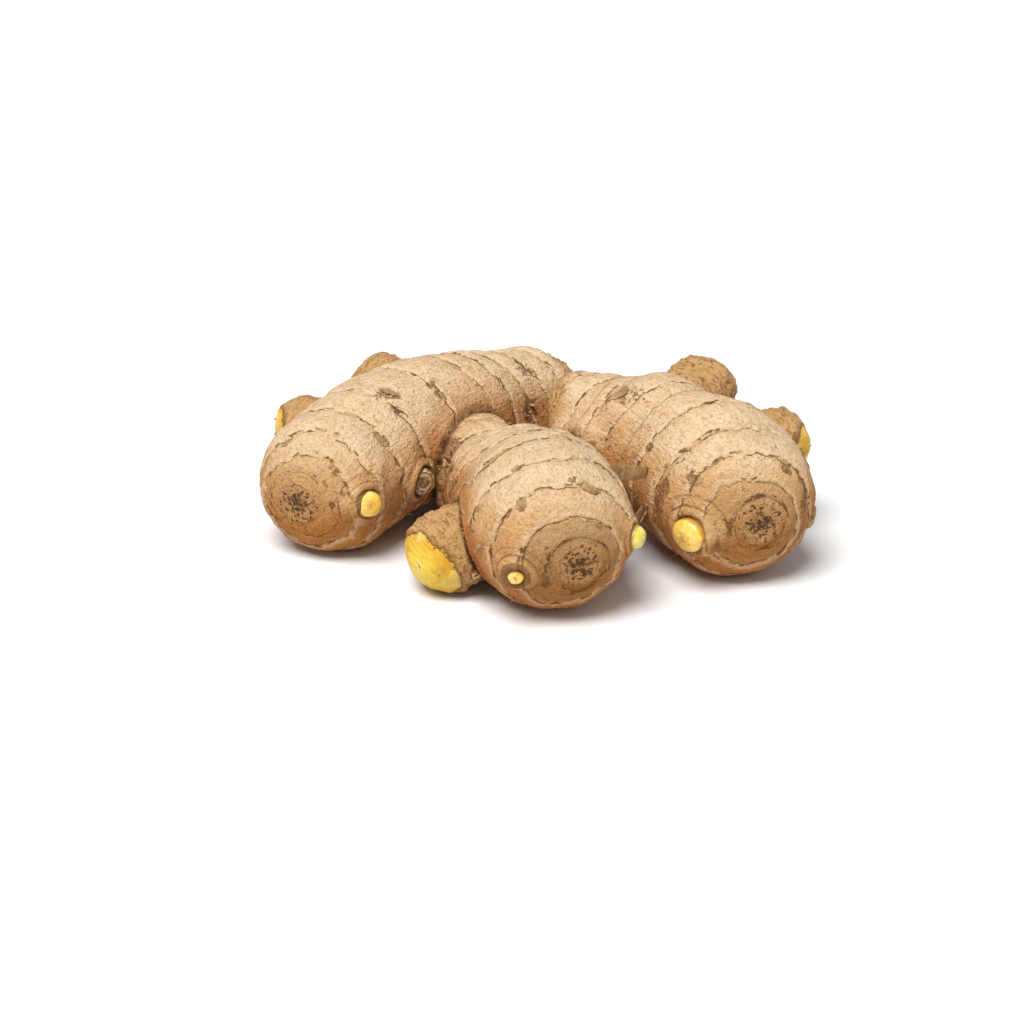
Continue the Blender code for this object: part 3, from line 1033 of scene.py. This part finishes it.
# %% [markdown]
# ## Rootlets, torn scales and crumbs
# What is left of the roots are short dry hairs and thorns, most of them in the creases and below. A
# hair is a row of shrinking rings joined one to the next, so it can bend. A few old leaf scales
# stand free like small blades, the widest between the middle and the right finger: the same rings,
# made flat. Crumbs of dry skin and earth are balls of only a few faces, since there are so many.


# %% Bent and tapered pieces
def wobble(place, size):
    """A vector that changes softly from place to place. size is its grain in metres."""
    return Vector([noise.noise(place / size + Vector((k * 9.7, 0, 0))) for k in range(3)])


def add_bent(work, start, way, long, thick, flat=1.0, taper=0.82, bend=0.35, sides=6, rings=7):
    """Adds a closed, bent and tapered piece. Sizes in metres; flat squeezes its section."""
    way = Vector(way).normalized()
    sag = wobble(start, 3 * MM)
    last_loop = None
    for number in range(rings):
        share = number / (rings - 1)
        place = start + way * long * share + sag * bend * long * share**2
        heading = way + sag * bend * 2 * share
        size = thick * (1 - taper * share) * (1 + 0.25 * noise.noise(place / MM * 1.3))
        turned = heading.to_track_quat("Z", "Y").to_matrix().to_4x4()
        matrix = Matrix.Translation(place) @ turned @ Matrix.Diagonal((size * flat, size, 1, 1))
        circle = bmesh.ops.create_circle(work, segments=sides, radius=1.0, matrix=matrix)["verts"]
        loop = list({edge for vert in circle for edge in vert.link_edges})
        if last_loop:
            bmesh.ops.bridge_loops(work, edges=last_loop + loop)
        if number in (0, rings - 1):
            work.faces.new(circle)
        last_loop = loop


def dry_finish(name, roughness, grains, dark_to, dark, light):
    """A dull material that wanders between two browns."""
    made = Finish(name, roughness)
    specks = made.noise(made.place, grains, 3)
    made.paint(made.mix(specks.ramp(dark_to, 0.62), dark, light))
    made.relief(specks, 0.0003)
    return made.material


# (place in mm from the middle of the base, turn, climb, length and radius in mm)
HAIRS = [
    ((-22.4, -3.6, 21.4), -110, 35, 5.0, 0.75), ((-22.2, -3.4, 21.6), -75, 70, 4.6, 0.60),
    ((-21.8, -8.0, 21.8), -140, 10, 4.4, 0.60), ((-20.3, -21.8, 22.8), -160, 30, 5.4, 0.80),
    ((-20.0, -22.5, 22.0), -120, 65, 3.2, 0.40), ((-13.2, -54.0, 19.0), -120, -50, 3.0, 0.36),
    ((-13.2, -54.0, 19.4), -175, 5, 2.4, 0.34), ((-13.4, -53.5, 18.4), -170, 55, 2.0, 0.30),
    ((-15.4, -43.6, 8.0), -100, -4, 3.4, 1.35), ((-13.6, -46.5, 8.8), -150, -20, 3.4, 0.50),
    ((26.8, -26.0, 17.8), -120, -45, 4.4, 0.40), ((26.6, -27.2, 18.8), -150, 30, 3.4, 0.40),
    ((25.4, -23.5, 20.5), -170, -20, 3.6, 0.35), ((17.6, -7.2, 28.4), -140, 40, 3.0, 0.35),
    ((-1.6, 27.6, 25.2), -60, 10, 3.4, 0.60), ((-3.0, 24.8, 23.0), -80, 30, 2.6, 0.45),
]
hairs = bmesh.new()
for place, turn, climb, long, thick in HAIRS:
    start = MIDDLE + Vector(place) * MM
    add_bent(hairs, start, direction(turn, climb), long * MM, thick * MM)

# more hairs by chance, mostly in the creases and on the undersides
HAIR_COUNT = 36
lucky = np.random.default_rng(7)
hair_share = crease * 0.5 + 0.4 * ease(0.1, 0.8, -normals[:, 2])
hair_share *= (moved[:, 2] > low.z + 2.5 * MM) & (normals[:, 2] < 0.3)
hair_share *= (scar_away > 20) & (stub < 0.3)
chosen = lucky.choice(len(points), HAIR_COUNT, replace=False, p=hair_share / hair_share.sum())
for number in chosen:
    way = Vector(normals[number]) + Vector(lucky.uniform(-0.8, 0.8, 3))
    way.z = max(way.z, -0.3)
    start = Vector(moved[number] - normals[number] * 0.3 * MM)
    long, thick = lucky.uniform(1.2, 2.8) * MM, lucky.uniform(0.22, 0.45) * MM
    if start.z + min(way.normalized().z, 0) * long > low.z + 1.0 * MM:
        add_bent(hairs, start, way, long, thick, rings=5)
print("The rootlets have", len(hairs.faces), "faces")

hair_material = dry_finish("rootlet", 0.75, 900, 0.40, (0.17, 0.075, 0.026), (0.48, 0.29, 0.14))
finished("rootlets", hairs, hair_material)

# %% Leaf scales that stand free
blade = bmesh.new()
# (base, tip in mm from the middle of the base, half width in mm)
BLADES = [
    ((15.6, -39.0, 32.0), (25.2, -24.6, 26.0), 2.6),
    ((26.0, -25.0, 17.2), (22.8, -31.0, 16.0), 1.7),
    ((11.0, -29.0, 34.8), (13.6, -26.8, 34.9), 1.6),
    ((-20.2, -10.5, 22.4), (-22.6, -12.9, 22.9), 1.2),
    ((-13.4, -55.2, 19.8), (-15.8, -56.4, 18.6), 1.1),
]
paper = {"flat": 0.16, "taper": 0.5, "bend": 0.15, "sides": 10, "rings": 10}
for base, tip, half in BLADES:
    way = (Vector(tip) - Vector(base)) * MM
    start = MIDDLE + Vector(base) * MM
    add_bent(blade, start, way, way.length, half * MM, **paper)
finished("standing_leaf_scales", blade, scale_finish.material)

# %% Crumbs of dry skin and earth
CRUMB_COUNT = 150
crumbs = bmesh.new()
crumb_share = crease**2 * (1 - ease(0.3, 0.9, -normals[:, 2])) + 0.10 * np.maximum(stub, broken)
chosen = lucky.choice(len(points), CRUMB_COUNT, replace=False, p=crumb_share / crumb_share.sum())
for number in chosen:
    spread = Vector(lucky.uniform(0.15, 0.55, 3)) * MM
    place = Vector(moved[number] + normals[number] * 0.1 * MM)
    turned = Matrix.Rotation(lucky.uniform(0, 2 * pi), 4, direction(*lucky.uniform(-90, 90, 2)))
    matrix = Matrix.Translation(place) @ turned @ Matrix.Diagonal((*spread, 1))
    bmesh.ops.create_icosphere(crumbs, subdivisions=1, radius=1.0, matrix=matrix)
for vert in crumbs.verts:
    vert.co += 0.12 * MM * wobble(vert.co, 0.4 * MM)
    vert.co.z = max(vert.co.z, low.z)
print("The crumbs have", len(crumbs.faces), "faces")
crumb_material = dry_finish("crumb", 0.85, 1200, 0.38, (0.13, 0.060, 0.024), (0.40, 0.24, 0.11))
finished("crumbs", crumbs, crumb_material)


# %% [markdown]
# ## The studio
# The rhizome lies on a plain white table in soft light from above and a little to the left. Two
# broad suns light the whole table evenly, where a lamp close by would leave its far side grey. The
# camera looks down on it a little, from far enough away that the front fingers don't bulge.

# %% Floor, light and camera
floor_mesh = bmesh.new()
bmesh.ops.create_grid(floor_mesh, x_segments=1, y_segments=1, size=6.0)
floor_data = bpy.data.meshes.new("floor")
floor_mesh.to_mesh(floor_data)
floor_mesh.free()
floor = placed("floor", floor_data)
floor_finish = Finish("floor_white", 0.9)
grit = floor_finish.noise(floor_finish.place, 400)
floor_finish.paint(floor_finish.mix(grit, (0.80, 0.80, 0.80), (0.83, 0.83, 0.83)))
floor_data.materials.append(floor_finish.material)
floor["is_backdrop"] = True

world = bpy.data.worlds.new("studio")
world.use_nodes = True
sky = world.node_tree.nodes["Background"].inputs
sky["Color"].default_value = (1, 1, 1, 1)
sky["Strength"].default_value = 0.26
bpy.context.scene.world = world
bpy.context.scene.view_settings.view_transform = "Standard"


def soft_sun(name, turn, climb, strength, spread):
    """Even light from far away. spread is how many degrees of the sky it fills."""
    light = bpy.data.lights.new(name, "SUN")
    light.energy = strength
    light.angle = radians(spread)
    lamp = placed(name, light)
    lamp.rotation_euler = direction(turn, climb).to_track_quat("Z", "Y").to_euler()


soft_sun("key", -120, 62, 3.95, 36)
soft_sun("fill", -50, 40, 0.40, 80)

AIM = MIDDLE + Vector((-6.7, -16.9, 12.9)) * MM
LOOKS_DOWN = 22  # degrees
CAMERA_AWAY = 0.711  # metres
camera_data = bpy.data.cameras.new("camera")
camera_data.lens = 100
camera_data.sensor_width = 36
camera_data.clip_start = 0.01
camera = placed("camera", camera_data)
back = -direction(90, -LOOKS_DOWN)
camera.location = AIM + back * CAMERA_AWAY
camera.rotation_euler = (-back).to_track_quat("-Z", "Y").to_euler()
bpy.context.scene.camera = camera

# %% Measure and finish
bpy.context.view_layer.update()
seen_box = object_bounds()
for name, box in (("solid", cad_box), ("finished", seen_box)):
    print(name, [[round(v / MM, 1) for v in corner] for corner in box])
